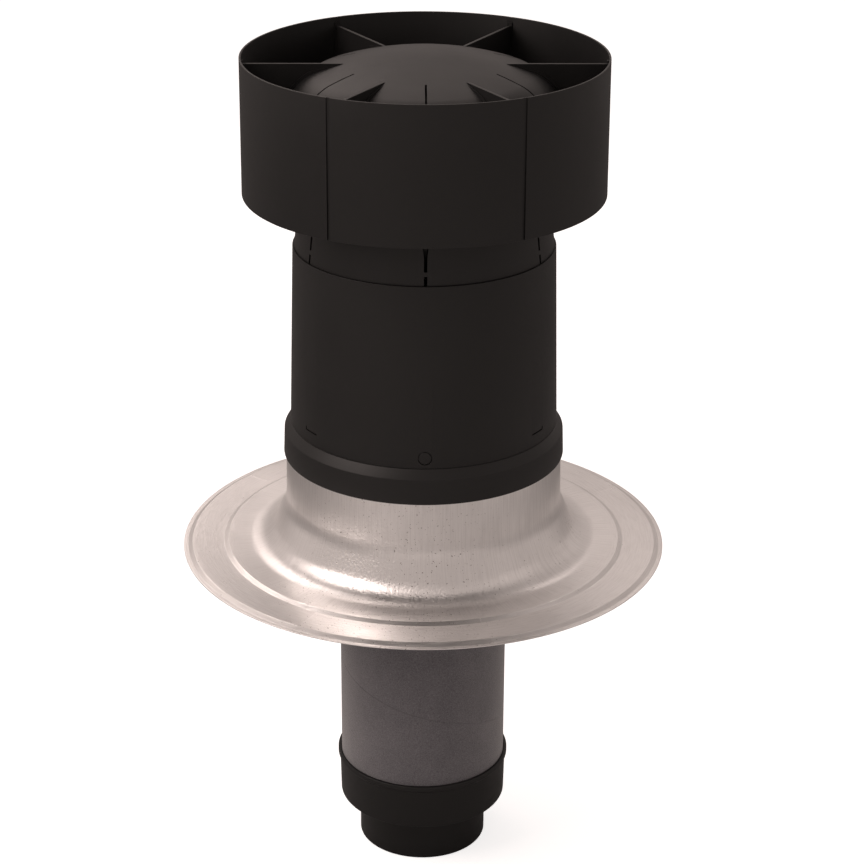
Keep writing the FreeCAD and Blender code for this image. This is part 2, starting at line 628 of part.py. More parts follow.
lips = plate(hood, "ChannelLips",
             hoodCurve("lipHeight", "lipInner", "hoodFoot")
             + backwards(hoodCurve("(0 - mouldWall / 2)", "lipInner", "hoodFoot")),
             "finWall + 2 * fitGap + 2 * lipWall")
repeated(hood, "ChannelLipSet", [lips], "finCount")
channelOutline = newSketch(hood, "ChannelOutline")
drawOutline(channelOutline,
            hoodCurve("2 * lipHeight", "lipInner - lipHeight", "channelFoot")
            + backwards(hoodCurve("0", "lipInner - lipHeight", "channelFoot")))
channel = pocket(hood, "Channel", channelOutline, "finWall + 2 * fitGap", "Symmetric")
repeated(hood, "Channels", [channel], "finCount")

# Wind ring: a tube with six radial fins, one moulding, with a groove outside
# and a rail inside where each fin meets the wall.
ring = newBody("wind_ring")
turned(ring, "RingWall", [
    ("ringFootRadius", "ringFoot"),
    ("ringRadius", "ringTop"),
    ("ringRadius - ringWall", "ringTop"),
    ("ringFootRadius - ringWall", "ringFoot"),
])
finCurve = hoodCurve("fitGap", "finTip", "channelFoot")
fin = plate(ring, "Fin", finCurve + [
    ("hoodRadius + lipHeight + 2 * fitGap", "channelFoot"),
    ("ringFootRadius - ringWall / 2", "finFoot"),
    ("ringRadius - ringWall / 2", "finTop"),
], "finWall")
rail = plate(ring, "Rail", [
    ("ringFootRadius - ringWall - railDepth", "ringFoot"),
    ("ringFootRadius - ringWall / 2", "ringFoot"),
    ("ringRadius - ringWall / 2", "finTop + railRise"),
    ("ringRadius - ringWall - railDepth", "finTop + railRise"),
], "railWidth")
groove = newSketch(ring, "GrooveOutline", "XY_Plane", offset="ringTop")
drawOutline(groove, [
    ("ringRadius - grooveDepth", "-grooveWidth / 2"),
    ("ringRadius + ringWall", "-grooveWidth / 2"),
    ("ringRadius + ringWall", "grooveWidth / 2"),
    ("ringRadius - grooveDepth", "grooveWidth / 2"),
])
grooveCut = pocket(ring, "Groove", groove, "ringHeight")
repeated(ring, "Fins", [fin, rail, grooveCut], "finCount")

# Insulated pipe: a foam tube from the reducer up to the funnel.
pipe = newBody("insulated_pipe")
turned(pipe, "PipeWall", [
    ("pipeRadius", "-pipeDepth"),
    ("pipeRadius", "pipeTop"),
    ("pipeBore", "pipeTop"),
    ("pipeBore", "-pipeDepth"),
])

# Reducer: a socket over the pipe's end, an insert inside it, stop ribs between
# them and below the outlet, whose bore takes the duct's end up to a shoulder.
reducer = newBody("reducer")
turned(reducer, "ReducerShell", [
    ("socketRadius + socketLip", "socketTop"),
    ("socketRadius + socketLip", "socketTop - socketLipHeight"),
    ("socketRadius", "socketTop - socketLipHeight - socketLip"),
    ("socketFootRadius", "socketFoot"),
    ("outletBore + outletWall", "socketFoot"),
    ("outletBore + outletWall", "outletFoot"),
    ("outletBore", "outletFoot"),
    ("outletBore", "socketFoot"),
    ("funnelBore", "socketFoot"),
    ("funnelBore", "insertTop"),
    ("funnelBore + ductWall", "insertTop"),
    ("funnelBore + ductWall", "socketFoot + ductWall"),
    ("socketFootRadius - ductWall", "socketFoot + ductWall"),
    ("socketFootRadius - ductWall", "-pipeDepth - ductWall"),
    ("pipeRadius + fitGap", "-pipeDepth"),
    ("pipeRadius + fitGap", "socketTop"),
])
stopRib = plate(reducer, "StopRib", [
    ("funnelBore + ductWall / 2", "-pipeDepth"),
    ("funnelBore + ductWall / 2", "socketFoot + ductWall / 2"),
    ("socketFootRadius - ductWall / 2", "socketFoot + ductWall / 2"),
    ("socketFootRadius - ductWall / 2", "-pipeDepth - ductWall / 2"),
    ("pipeRadius - ductWall", "-pipeDepth"),
], "stopRibWall")
repeated(reducer, "StopRibs", [stopRib], "stopRibCount")
rounded(reducer, "SocketFootRound", [("socketFootRadius", "socketFoot")], "socketFootBend")

doc.recompute()
bodies = [flashing, collar, jacket, buttons, cowl, hood, ring, pipe, reducer]
for thing in doc.Objects:
    if "Invalid" in thing.State or "Error" in thing.State:
        raise RuntimeError("%s is %s" % (thing.Label, thing.State))
for body in bodies:
    if body.Shape.isNull() or not body.Shape.isValid():
        raise RuntimeError("%s has no sound shape" % body.Label)

os.makedirs("parts", exist_ok=True)
for body in bodies:
    body.Shape.exportStep("parts/%s.step" % body.Label)
    print(body.Label, len(body.Shape.Solids), round(body.Shape.Volume))
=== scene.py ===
import bpy
import math
from mathutils import Matrix, Vector


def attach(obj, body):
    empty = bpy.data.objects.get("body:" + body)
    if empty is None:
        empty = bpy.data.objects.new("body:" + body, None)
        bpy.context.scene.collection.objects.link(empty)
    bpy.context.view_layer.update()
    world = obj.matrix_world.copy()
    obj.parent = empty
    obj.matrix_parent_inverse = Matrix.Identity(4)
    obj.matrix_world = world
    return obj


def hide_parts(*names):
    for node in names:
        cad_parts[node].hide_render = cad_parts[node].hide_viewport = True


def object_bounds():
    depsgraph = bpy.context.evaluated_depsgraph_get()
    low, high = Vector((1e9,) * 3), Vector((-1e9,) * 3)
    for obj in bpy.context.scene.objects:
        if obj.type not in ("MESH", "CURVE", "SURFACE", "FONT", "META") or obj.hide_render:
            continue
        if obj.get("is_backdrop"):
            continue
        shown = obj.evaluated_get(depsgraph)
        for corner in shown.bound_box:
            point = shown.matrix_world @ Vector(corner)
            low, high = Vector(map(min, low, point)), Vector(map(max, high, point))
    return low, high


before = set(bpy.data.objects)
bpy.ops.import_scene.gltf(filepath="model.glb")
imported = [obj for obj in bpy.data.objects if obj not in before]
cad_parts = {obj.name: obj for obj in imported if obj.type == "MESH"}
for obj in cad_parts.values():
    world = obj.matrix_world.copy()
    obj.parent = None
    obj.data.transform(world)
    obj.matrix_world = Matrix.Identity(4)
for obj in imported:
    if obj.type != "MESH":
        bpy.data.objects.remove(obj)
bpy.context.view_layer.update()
print("frame loaded", sorted(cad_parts))

mm = 0.001
mergeWithin = 2e-6


# Camera: in front of the terminal and a metre above the roof, looking down on it.
# Metres, degrees and a lens in millimetres.
cameraView = {
    "distance": 2.1331,
    "height": 1.03279,
    "turn": -0.6,
    "pitch": 23.344,
    "roll": 0.211,
    "lens": 99.356,
    "shiftX": -0.00076,
    "sensor": 36,
    "farthest": 50,
}


def addCamera(view):
    turn = Matrix.Rotation(math.radians(view["turn"]), 4, "Z")
    tilt = Matrix.Rotation(math.radians(90 - view["pitch"]), 4, "X")
    roll = Matrix.Rotation(math.radians(view["roll"]), 4, "Z")
    place = turn @ Matrix.Translation((0, -view["distance"], view["height"])) @ tilt @ roll
    bpy.ops.object.camera_add()
    camera = bpy.context.object
    camera.name = "photoCamera"
    camera.matrix_world = place
    camera.data.lens = view["lens"]
    camera.data.sensor_width = view["sensor"]
    camera.data.shift_x = view["shiftX"]
    camera.data.clip_end = view["farthest"]
    bpy.context.scene.camera = camera


# Node helpers shared by all materials
def newMaterial(name):
    material = bpy.data.materials.new(name)
    material.use_nodes = True
    tree = material.node_tree
    tree.nodes.clear()
    output = tree.nodes.new("ShaderNodeOutputMaterial")
    shader = tree.nodes.new("ShaderNodeBsdfPrincipled")
    tree.links.new(shader.outputs["BSDF"], output.inputs["Surface"])
    return material, tree, shader


def addNode(tree, kind, inputs=(), **settings):
    node = tree.nodes.new(kind)
    for name, value in settings.items():
        setattr(node, name, value)
    for socket, value in dict(inputs).items():
        if isinstance(value, bpy.types.NodeSocket):
            tree.links.new(value, node.inputs[socket])
        else:
            node.inputs[socket].default_value = value
    return node


def mathNode(tree, operation, first, second=0.0, clamp=False):
    return addNode(tree, "ShaderNodeMath", {0: first, 1: second},
                   operation=operation, use_clamp=clamp).outputs[0]


def spread(tree, value, low, high, lowOut=0.0, highOut=1.0):
    return addNode(tree, "ShaderNodeMapRange", {
        "Value": value, "From Min": low, "From Max": high,
        "To Min": lowOut, "To Max": highOut}).outputs["Result"]


def noise(tree, vector, scale, detail=2.0, roughness=0.5):
    return addNode(tree, "ShaderNodeTexNoise", {
        "Vector": vector, "Scale": scale, "Detail": detail,
        "Roughness": roughness}).outputs["Fac"]


def blendColours(tree, factor, first, second):
    return addNode(tree, "ShaderNodeMix", {
        0: factor, 6: first, 7: second}, data_type="RGBA").outputs[2]


def objectPoint(tree):
    return addNode(tree, "ShaderNodeTexCoord").outputs["Object"]


def newVector(tree, x=0.0, y=0.0, z=0.0):
    return addNode(tree, "ShaderNodeCombineXYZ", {0: x, 1: y, 2: z}).outputs[0]


# Radius, height and angle of the surface point, and the point itself
def roundPoint(tree):
    point = objectPoint(tree)
    parts = addNode(tree, "ShaderNodeSeparateXYZ", {0: point})
    radius = addNode(tree, "ShaderNodeVectorMath", {
        0: newVector(tree, parts.outputs[0], parts.outputs[1])},
        operation="LENGTH").outputs["Value"]
    angle = mathNode(tree, "ARCTAN2", parts.outputs[1], parts.outputs[0])
    return radius, parts.outputs[2], angle, point


def addBump(tree, height, strength, depth, under=None):
    inputs = {"Height": height, "Strength": strength, "Distance": depth}
    if under:
        inputs["Normal"] = under
    return addNode(tree, "ShaderNodeBump", inputs).outputs[0]


plasticFinish = {
    "colour": (0.0042, 0.0040, 0.0039, 1),
    "worn": (0.014, 0.013, 0.0125, 1),
    "roughness": 0.5,
    "refraction": 1.45,
    "cloudScale": 9,
    "grainScale": 900,
    "speckScale": 420,
    "grainStrength": 0.12,
    "grainDepth": 0.0002,
}


def blackPlastic(name, finish=plasticFinish):
    material, tree, shader = newMaterial(name)
    point = objectPoint(tree)
    cloud = noise(tree, point, finish["cloudScale"], 4, 0.6)
    grain = noise(tree, point, finish["grainScale"], 2)
    speck = spread(tree, noise(tree, point, finish["speckScale"], 1), 0.70, 0.78)
    tone = mathNode(tree, "ADD", spread(tree, cloud, 0.35, 0.75, 0, 0.22),
                    mathNode(tree, "MULTIPLY", speck, 0.35), clamp=True)
    tree.links.new(blendColours(tree, tone, finish["colour"], finish["worn"]),
                   shader.inputs["Base Color"])
    rough = mathNode(tree, "ADD", spread(tree, cloud, 0.3, 0.7, -0.05, 0.05),
                     finish["roughness"])
    tree.links.new(rough, shader.inputs["Roughness"])
    shader.inputs["IOR"].default_value = finish["refraction"]
    tree.links.new(addBump(tree, grain, finish["grainStrength"], finish["grainDepth"]),
                   shader.inputs["Normal"])
    return material


metalFinish = {
    "colour": (0.90, 0.885, 0.875, 1),
    "dull": (0.78, 0.765, 0.755, 1),
    "pit": (0.16, 0.14, 0.13, 1),
    "roughness": 0.35,
    "anisotropy": 0.55,
    "plateFrom": 0.178,
    "plateTo": 0.192,
    "wornAt": (-0.03, -0.17, 0.03),
    "wornNear": 0.02,
    "wornFar": 0.15,
    "ringScale": 900,
    "lineScale": 620,
    "scratchScale": 170,
    "pitScale": 520,
    "peelScale": 430,
    "cloudScale": 14,
    "patchScale": 22,
    "waveScale": 17,
    "waveStrength": 0.22,
    "waveDepth": 0.0012,
    "grainStrength": 0.45,
    "grainDepth": 0.0005,
}


def spunMetal(name, finish=metalFinish):
    material, tree, shader = newMaterial(name)
    radius, height, angle, point = roundPoint(tree)
    run = mathNode(tree, "SUBTRACT", radius, height)
    plate = spread(tree, radius, finish["plateFrom"], finish["plateTo"])
    neck = mathNode(tree, "SUBTRACT", 1.0, plate)
    cloud = noise(tree, point, finish["cloudScale"], 4, 0.6)

    # Worn patches, mostly low on the front
    fromWear = addNode(tree, "ShaderNodeVectorMath", {
        0: point, 1: finish["wornAt"]}, operation="DISTANCE").outputs["Value"]
    worn = spread(tree, fromWear, finish["wornNear"], finish["wornFar"], 0.85, 0)
    loose = spread(tree, noise(tree, point, finish["patchScale"], 3), 0.5, 0.65, 0, 0.5)
    patch = mathNode(tree, "ADD", worn, loose, clamp=True)

    # Turning rings on the plate, polishing lines up the flare and the neck
    ringPoint = newVector(tree, run, mathNode(tree, "MULTIPLY", angle, 0.01))
    rings = noise(tree, ringPoint, finish["ringScale"], 3)
    around = mathNode(tree, "MULTIPLY", angle, 0.15)
    linePoint = newVector(tree, around, mathNode(tree, "MULTIPLY", run, 0.03))
    lines = noise(tree, linePoint, finish["lineScale"], 3, 0.6)
    scratchPoint = newVector(tree, around, mathNode(tree, "MULTIPLY", run, 0.04))
    scratch = spread(tree, noise(tree, scratchPoint, finish["scratchScale"], 1), 0.71, 0.75)
    grain = mathNode(tree, "ADD", mathNode(tree, "MULTIPLY", rings, plate),
                     mathNode(tree, "MULTIPLY", lines, neck))

    # Colour and gloss, with small dark pits in the worn patches
    pit = spread(tree, noise(tree, point, finish["pitScale"], 1), 0.70, 0.735)
    pit = mathNode(tree, "MULTIPLY", pit, patch)
    dull = mathNode(tree, "ADD", spread(tree, cloud, 0.35, 0.7, 0, 0.6), mathNode(
        tree, "MULTIPLY", spread(tree, grain, 0.4, 0.65), 0.6), clamp=True)
    tone = blendColours(tree, dull, finish["colour"], finish["dull"])
    tree.links.new(blendColours(tree, pit, tone, finish["pit"]), shader.inputs["Base Color"])
    shader.inputs["Metallic"].default_value = 1
    rough = mathNode(tree, "ADD", spread(tree, cloud, 0.3, 0.7, -0.04, 0.05),
                     spread(tree, grain, 0.35, 0.7, finish["roughness"] - 0.05,
                            finish["roughness"] + 0.07))
    tree.links.new(rough, shader.inputs["Roughness"])
    shader.inputs["Anisotropic"].default_value = finish["anisotropy"]

    # Relief: fine grain and scratches, orange peel and pits, slow waves from the spinning
    peel = mathNode(tree, "MULTIPLY", noise(tree, point, finish["peelScale"], 2), patch)
    fine = mathNode(tree, "ADD", mathNode(tree, "MULTIPLY", grain, 0.45),
                    mathNode(tree, "MULTIPLY", peel, 1.5))
    fine = mathNode(tree, "ADD", fine, mathNode(tree, "MULTIPLY", scratch, 0.5))
    fine = mathNode(tree, "SUBTRACT", fine, mathNode(tree, "MULTIPLY", pit, 1.2))
    slow = addBump(tree, noise(tree, point, finish["waveScale"], 1),
                   finish["waveStrength"], finish["waveDepth"])
    tree.links.new(addBump(tree, fine, finish["grainStrength"], finish["grainDepth"], slow),
                   shader.inputs["Normal"])
    tangent = addNode(tree, "ShaderNodeTangent", direction_type="RADIAL", axis="Z")
    tree.links.new(tangent.outputs[0], shader.inputs["Tangent"])
    return material


foamFinish = {
    "colour": (0.070, 0.069, 0.080, 1),
    "light": (0.230, 0.222, 0.236, 1),
    "roughness": 0.85,
    "sheen": 0.75,
    "grainScale": 950,
    "cloudScale": 25,
    "grainStrength": 0.5,
    "grainDepth": 0.0006,
}


def greyFoam(name, finish=foamFinish):
    material, tree, shader = newMaterial(name)
    point = objectPoint(tree)
    grain = noise(tree, point, finish["grainScale"], 2, 0.7)
    cloud = noise(tree, point, finish["cloudScale"], 4, 0.6)
    tone = mathNode(tree, "ADD", spread(tree, grain, 0.3, 0.72, 0, 0.75),
                    spread(tree, cloud, 0.35, 0.7, -0.05, 0.15), clamp=True)
    tree.links.new(blendColours(tree, tone, finish["colour"], finish["light"]),
                   shader.inputs["Base Color"])
    shader.inputs["Roughness"].default_value = finish["roughness"]
    shader.inputs["Sheen Weight"].default_value = finish["sheen"]
    tree.links.new(addBump(tree, grain, finish["grainStrength"], finish["grainDepth"]),
                   shader.inputs["Normal"])
    return material


def dress(piece, material):
    piece.data.materials.clear()
    piece.data.materials.append(material)


# Studio: a pale room, one big soft lamp on the left, smaller ones behind and above,
# long low ones round the foot. Degrees, metres and watts.
lamps = {
    "left": {"azimuth": 203, "elevation": 42, "distance": 2.6,
        "size": (1.6, 1.5), "power": 28},
    "backLeft": {"azimuth": 122, "elevation": 42, "distance": 2.8,
        "size": (1.3, 1.0), "power": 7.5},
    "back": {"azimuth": 60, "elevation": 24, "distance": 3.0,
        "size": (3.6, 1.2), "power": 1.8},
    "right": {"azimuth": 345, "elevation": 32, "distance": 3.0,
        "size": (1.4, 1.8), "power": 1.7},
    "front": {"azimuth": 268, "elevation": 3, "distance": 3.0,
        "size": (5.5, 0.8), "power": 2.3},
    "top": {"azimuth": 100, "elevation": 60, "distance": 2.6,
        "size": (2.2, 1.1), "power": 10},
    "lowLeft": {"azimuth": 158, "elevation": 1, "distance": 3.0,
        "size": (3.2, 0.8), "power": 2.0},
    "lowRight": {"azimuth": 30, "elevation": 1, "distance": 3.0,
        "size": (3.2, 0.8), "power": 1.1},
}
roomLight = {"ambient": 0.42, "glossy": 0.45, "colour": (1.0, 0.865, 0.81, 1)}


def addLamp(name, lamp):
    around, up = math.radians(lamp["azimuth"]), math.radians(lamp["elevation"])
    direction = Vector((math.cos(around) * math.cos(up), math.sin(around) * math.cos(up),
                        math.sin(up)))
    bpy.ops.object.light_add(type="AREA", location=direction * lamp["distance"])
    light = bpy.context.object
    light.name = name + "Lamp"
    light.rotation_euler = direction.to_track_quat("Z", "Y").to_euler()
    light.data.shape = "RECTANGLE"
    light.data.size, light.data.size_y = lamp["size"]
    light.data.energy = lamp["power"]
    light.data.color = roomLight["colour"][:3]


def addRoom(light):
    world = bpy.data.worlds.new("room")
    bpy.context.scene.world = world
    world.use_nodes = True
    tree = world.node_tree
    tree.nodes.clear()
    output = tree.nodes.new("ShaderNodeOutputWorld")
    rays = addNode(tree, "ShaderNodeLightPath")
    strength = mathNode(tree, "ADD", mathNode(
        tree, "MULTIPLY", rays.outputs["Is Glossy Ray"], light["glossy"] - light["ambient"]),
        light["ambient"])
    seen = mathNode(tree, "MAXIMUM", rays.outputs["Is Camera Ray"],
                    rays.outputs["Is Transmission Ray"])
    background = addNode(tree, "ShaderNodeBackground", {
        "Color": blendColours(tree, seen, light["colour"], (1, 1, 1, 1)),
        "Strength": mathNode(tree, "MAXIMUM", strength, seen)})
    tree.links.new(background.outputs[0], output.inputs["Surface"])


# A black card overhead keeps the flare's trough dark.
blackCard = {"place": (0, -0.15, 2.7), "size": (2.6, 1.1, 1), "colour": (0.01, 0.01, 0.01, 1)}


def addCard(size):
    bpy.ops.mesh.primitive_plane_add(size=1, location=size["place"])
    card = bpy.context.object
    card.name = "blackCard"
    card.scale = size["size"]
    card.visible_camera = False
    material, _, shader = newMaterial("blackCard")
    shader.inputs["Base Color"].default_value = size["colour"]
    shader.inputs["Roughness"].default_value = 1
    dress(card, material)
    card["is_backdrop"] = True


# The floor is white to the camera; to the object its colour fades from the front to the back,
# painted shade in what the metal reflects.
paleFloor = {"size": 16, "drop": 0.0005, "from": -0.7, "to": 0.5, "front": 0.66, "back": 0.28,
             "turn": 0.35, "seen": 0.85, "glow": 0.7}


def addFloor(size):
    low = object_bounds()[0][2]
    bpy.ops.mesh.primitive_plane_add(size=size["size"], location=(0, 0, low - size["drop"]))
    floor = bpy.context.object
    floor.name = "floor"
    material = bpy.data.materials.new("paleFloor")
    material.use_nodes = True
    tree = material.node_tree
    tree.nodes.clear()
    output = tree.nodes.new("ShaderNodeOutputMaterial")
    rays = addNode(tree, "ShaderNodeLightPath")
    place = addNode(tree, "ShaderNodeSeparateXYZ", {0: objectPoint(tree)})
    depth = mathNode(tree, "SUBTRACT", place.outputs[1],
                     mathNode(tree, "MULTIPLY", place.outputs[0], size["turn"]))
    # Painted shade: the colour the object sees darkens from the front to the back.
    level = spread(tree, depth, size["from"], size["to"], size["front"], size["back"])
    level = mathNode(tree, "MAXIMUM", level, mathNode(
        tree, "MULTIPLY", rays.outputs["Is Camera Ray"], size["seen"]))
    diffuse = addNode(tree, "ShaderNodeBsdfDiffuse", {
        "Color": newVector(tree, level, level, level)})
    glow = addNode(tree, "ShaderNodeEmission", {
        "Color": (1, 1, 1, 1),
        "Strength": mathNode(tree, "MULTIPLY", rays.outputs["Is Camera Ray"], size["glow"])})
    both = addNode(tree, "ShaderNodeAddShader", {0: diffuse.outputs[0], 1: glow.outputs[0]})
    tree.links.new(both.outputs[0], output.inputs["Surface"])
    dress(floor, material)
    floor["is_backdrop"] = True


# Modelling helpers: an outline of radius and height is drawn, then spun.
def arcPoints(before, corner, after, bendRadius, count=8):
    to1 = (Vector(before) - Vector(corner)).normalized()
    to2 = (Vector(after) - Vector(corner)).normalized()
    half = to1.angle(to2) / 2
    reach = bendRadius / math.tan(half)
    start, end = Vector(corner) + to1 * reach, Vector(corner) + to2 * reach
    centre = Vector(corner) + (to1 + to2).normalized() * (bendRadius / math.sin(half))
    first, last = start - centre, end - centre
    turn = first.angle_signed(last)
    points = []
    for index in range(count + 1):
        spoke = first.copy()
        spoke.rotate(Matrix.Rotation(-turn * index / count, 2))
        points.append(tuple(centre + spoke))
    return points


bendSteps = {"smallBend": 3, "small": 4, "large": 14}


# Corners are (radius, height) or (radius, height, bend), in millimetres.
def roundOutline(corners):
    points = []
    for index, corner in enumerate(corners):
        if len(corner) > 2 and corner[2]:
            before, after = corners[index - 1], corners[(index + 1) % len(corners)]
            count = bendSteps["small" if corner[2] < bendSteps["smallBend"] else "large"]
            points += arcPoints(before[:2], corner[:2], after[:2], corner[2], count)
        else:
            points.append(corner[:2])
    return points


def divided(points, longest):
    finer = []
    for index, point in enumerate(points):
        after = points[(index + 1) % len(points)]
        count = max(1, math.ceil((Vector(after) - Vector(point)).length / longest))
        for step in range(count):
            finer.append(tuple(Vector(point).lerp(Vector(after), step / count)))
    return finer


def deselectAll():
    if bpy.context.object and bpy.context.object.mode != "OBJECT":
        bpy.ops.object.mode_set(mode="OBJECT")
    bpy.ops.object.select_all(action="DESELECT")


def selectOnly(piece):
    deselectAll()
    piece.select_set(True)
    bpy.context.view_layer.objects.active = piece


def cleanUp(piece):
    selectOnly(piece)
    bpy.ops.object.mode_set(mode="EDIT")
    bpy.ops.mesh.select_all(action="SELECT")
    bpy.ops.mesh.remove_doubles(threshold=mergeWithin)
    bpy.ops.mesh.normals_make_consistent(inside=False)
    bpy.ops.object.mode_set(mode="OBJECT")


# One vertex is pulled along the places, in metres; the line stays in edit mode.
def drawn(name, places):
    deselectAll()
    bpy.ops.mesh.primitive_plane_add(size=mm)
    piece = bpy.context.object
    piece.name = name
    bpy.ops.object.mode_set(mode="EDIT")
    bpy.ops.mesh.merge(type="CENTER")
    bpy.ops.transform.translate(value=places[0])
    for before, place in zip(places, places[1:]):
        bpy.ops.mesh.extrude_region_move(TRANSFORM_OT_translate={"value": place - before})
    bpy.ops.mesh.select_all(action="SELECT")
    return piece


def spun(name, points, steps=192, angle=360, start=0, closed=True):
    around = math.radians(start)
    places = [Vector((r * math.cos(around), r * math.sin(around), z)) * mm for r, z in points]
    if closed:
        places.append(places[0])
    piece = drawn(name, places)
    bpy.ops.mesh.remove_doubles(threshold=mergeWithin)
    if angle < 360:
        bpy.ops.mesh.edge_face_add()
    bpy.ops.mesh.spin(steps=steps, angle=-math.radians(angle), center=(0, 0, 0), axis=(0, 0, 1))
    cleanUp(piece)
    return piece


def cut(piece, tools, operation="DIFFERENCE"):
    # The tools don't touch each other, so one boolean takes them all.
    tool = joined(tools)
    change = piece.modifiers.new(operation.lower(), "BOOLEAN")
    change.operation = operation
    change.solver = "EXACT"
    change.object = tool
    selectOnly(piece)
    bpy.ops.object.modifier_apply(modifier=change.name)
    bpy.data.objects.remove(tool)


# The outline in millimetres becomes a face, is pushed out and turned to an azimuth.
def pushed(name, outline, push, azimuth):
    plate = drawn(name, [Vector(corner) * mm for corner in outline])
    bpy.ops.mesh.edge_face_add()
    bpy.ops.mesh.extrude_region_move(TRANSFORM_OT_translate={"value": Vector(push) * mm})
    bpy.ops.mesh.select_all(action="SELECT")
    bpy.ops.mesh.normals_make_consistent(inside=False)
    bpy.ops.object.mode_set(mode="OBJECT")
    plate.data.transform(Matrix.Rotation(math.radians(azimuth), 4, "Z"))
    return plate


# A flat plate in the radial plane; its corners are (radius, height).
def slab(name, corners, thickness, azimuth):
    return pushed(name, [(r, -thickness / 2, z) for r, z in corners],
                  (0, thickness, 0), azimuth)


# A cylinder across the object, along Y.
def crossPin(radius, length, height, side=0.0, vertices=48):
    deselectAll()
    bpy.ops.mesh.primitive_cylinder_add(
        vertices=vertices, radius=radius * mm, depth=length * mm,
        location=(0, side * mm, height * mm), rotation=(math.pi / 2, 0, 0))
    bpy.ops.object.transform_apply(location=True, rotation=True)
    return bpy.context.object


def joined(pieces):
    selectOnly(pieces[0])
    for piece in pieces[1:]:
        piece.select_set(True)
    if len(pieces) > 1:
        bpy.ops.object.join()
    return pieces[0]


def finishPiece(piece, node, material, edge=30):
    selectOnly(piece)
    bpy.ops.object.shade_smooth_by_angle(angle=math.radians(edge))
    dress(piece, material)
    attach(piece, "root")
    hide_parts(node)
    print(piece.name, "done:", len(piece.data.polygons), "faces")


flashing = {
    "radius": 236.5, "wall": 0.8, "rim": 4.2, "rimSlope": 4.4, "plateTop": 3.3,
    "discStep": 196.8, "discSlope": 4.4, "discTop": 5.5,
    "flareFoot": 152.7, "footBend": 29.0, "neckFoot": 46.15, "neckBend": 45.0,
    "neckRadius": 134.6, "neckTopRadius": 133.0, "neckTop": 118.0,
    "stepBend": 1.2, "edgeBend": 0.3,
}


def makeFlashing(size, material):
    wall, below = size["wall"], size["discTop"] - size["wall"]
    rimInner = size["radius"] - size["rim"]
    slope = math.atan2(size["flareFoot"] - size["neckRadius"], size["neckFoot"] - size["discTop"])
    footShift = wall * math.tan(math.pi / 4 - slope / 2)
    neckInner = size["neckRadius"] - wall
    corners = [
        (size["radius"], 0),
        (size["radius"], wall, size["edgeBend"]),
        (rimInner, wall, size["stepBend"]),
        (rimInner - size["rimSlope"], size["plateTop"], size["stepBend"]),
        (size["discStep"], size["plateTop"], size["stepBend"]),
        (size["discStep"] - size["discSlope"], size["discTop"], size["stepBend"]),
        (size["flareFoot"], size["discTop"], size["footBend"]),
        (size["neckRadius"], size["neckFoot"], size["neckBend"]),
        (size["neckTopRadius"], size["neckTop"]),
        (size["neckTopRadius"] - wall, size["neckTop"]),
        (neckInner, size["neckFoot"], size["neckBend"] + wall),
        (size["flareFoot"] - footShift, below, size["footBend"] + wall),
        (size["discStep"] - size["discSlope"], below, size["stepBend"]),
        (size["discStep"], size["plateTop"] - wall, size["stepBend"]),
        (rimInner - size["rimSlope"], size["plateTop"] - wall, size["stepBend"]),
        (rimInner, 0, size["stepBend"]),
    ]
    piece = spun("flashingSheet", divided(roundOutline(corners), 6), 288)
    finishPiece(piece, "roof_flashing", material, 40)


collar = {
    "foot": 97.0, "footRadius": 136.0, "edge": 121.5, "edgeRadius": 135.1, "wall": 1.8,
    "ledge": 130.5, "ledgeRadius": 129.3, "spigotRadius": 125.67, "spigotTop": 158.5,
    "floor": 118.0, "floorWall": 2.4, "hubRadius": 83.3, "hubWall": 2.4,
    "hubFoot": 100.0, "hubTop": 134.0, "gussets": 6, "gussetWall": 2.0, "bend": 0.7,
    "footBend": 0.5,
}


def makeCollar(size, material):
    bend, hub = size["bend"], size["hubRadius"] + size["hubWall"]
    inner = size["spigotRadius"] - size["wall"]
    corners = [
        (size["footRadius"], size["foot"], size["footBend"]),
        (size["edgeRadius"], size["edge"], 2 * bend),
        (size["ledgeRadius"], size["ledge"], bend),
        (size["spigotRadius"], size["ledge"]),
        (size["spigotRadius"], size["spigotTop"]),
        (inner, size["spigotTop"]),
        (inner, size["floor"] + size["floorWall"]),
        (hub, size["floor"] + size["floorWall"], bend),
        (hub, size["hubTop"], bend),
        (size["hubRadius"], size["hubTop"], bend),
        (size["hubRadius"], size["hubFoot"], bend),
        (hub, size["hubFoot"], bend),
        (hub, size["floor"], bend),
        (size["edgeRadius"] - size["wall"], size["floor"], bend),
        (size["footRadius"] - size["wall"], size["foot"], size["footBend"]),
    ]
    piece = spun("collarMoulding", roundOutline(corners))
    gussets = [slab("gusset", [
        (hub - 1, size["floor"] + 1), (inner + 1, size["floor"] + 1),
        (inner + 1, size["hubTop"]), (hub - 1, size["hubTop"] - 1)],
        size["gussetWall"], 360 * index / size["gussets"]) for index in range(size["gussets"])]
    cut(piece, gussets, "UNION")
    finishPiece(piece, "storm_collar", material)


jacket = {
    "foot": 130.5, "footRadius": 128.9, "top": 306.9, "topRadius": 124.3, "wall": 2.2,
    "bend": 0.4, "buttonHeight": 140.8, "holeRadius": 6.6, "slitHeight": 143.2,
    "slitWidth": 1.3, "slitRise": 3.2, "slitSpan": 8.0, "slitAngle": 60.0,
}


